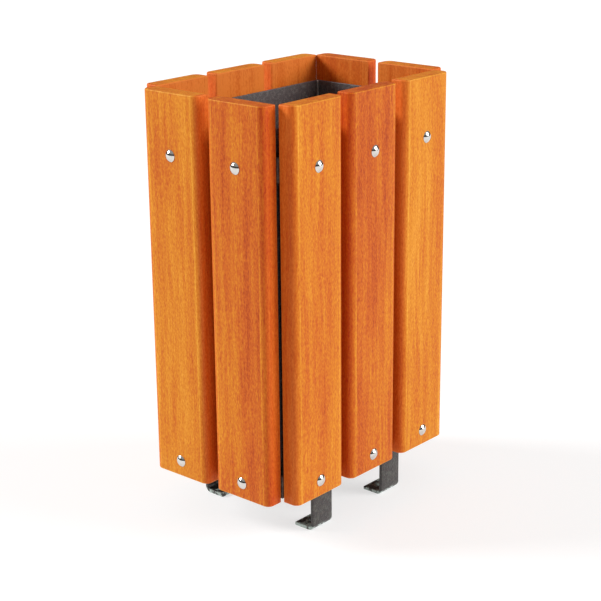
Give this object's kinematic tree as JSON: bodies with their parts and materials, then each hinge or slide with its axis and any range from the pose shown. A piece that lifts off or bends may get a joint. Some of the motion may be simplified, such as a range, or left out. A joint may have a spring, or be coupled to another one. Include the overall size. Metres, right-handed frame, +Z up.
{
  "type": "litter bin",
  "caption": "Rectangular street litter bin of upright timber slats bolted to flat-bar steel rings on turned-in feet, with a loose sheet-steel liner that lifts out.",
  "frame": {"origin": "on the ground, at the centre of the bin's outline in plan", "axes": "+Z up, X along the long sides, -Y is the front long side"},
  "size_m": [0.4776, 0.3376, 0.756],
  "materials": {
    "slat_timber": "orange-brown stained softwood, satin, straight vertical grain",
    "ring_steel": "dark grey hammered paint",
    "foot_steel": "dark grey hammered paint",
    "liner_steel": "dark grey speckled paint",
    "bolt_steel": "polished stainless",
    "plated_steel": "zinc plated"
  },
  "bodies": {
    "bin_frame": {"slat_front_left": "slat_timber", "slat_front_middle": "slat_timber", "slat_front_right": "slat_timber", "slat_back_left": "slat_timber", "slat_back_middle": "slat_timber", "slat_back_right": "slat_timber", "slat_left_front": "slat_timber", "slat_left_back": "slat_timber", "slat_right_front": "slat_timber", "slat_right_back": "slat_timber", "ring_lower_front": "ring_steel", "ring_lower_back": "ring_steel", "ring_lower_left": "ring_steel", "ring_lower_right": "ring_steel", "ring_upper_front": "ring_steel", "ring_upper_back": "ring_steel", "ring_upper_left": "ring_steel", "ring_upper_right": "ring_steel", "foot_front_left": "foot_steel", "foot_front_right": "foot_steel", "foot_back_left": "foot_steel", "foot_back_right": "foot_steel", "cross_bar_left": "ring_steel", "cross_bar_right": "ring_steel", "coach_bolts_lower": "bolt_steel", "coach_bolts_upper": "bolt_steel", "washers_lower": "plated_steel", "washers_upper": "plated_steel", "nuts_lower": "plated_steel", "nuts_upper": "plated_steel"},
    "liner": {"liner_sheet_back_left": "liner_steel", "liner_sheet_front_right": "liner_steel", "liner_base": "liner_steel"}
  },
  "joints": [
    {"name": "liner_lift", "type": "slide", "parent": "bin_frame", "child": "liner", "axis": [0, 0, 1], "range_m": [0, 0.68]}
  ]
}
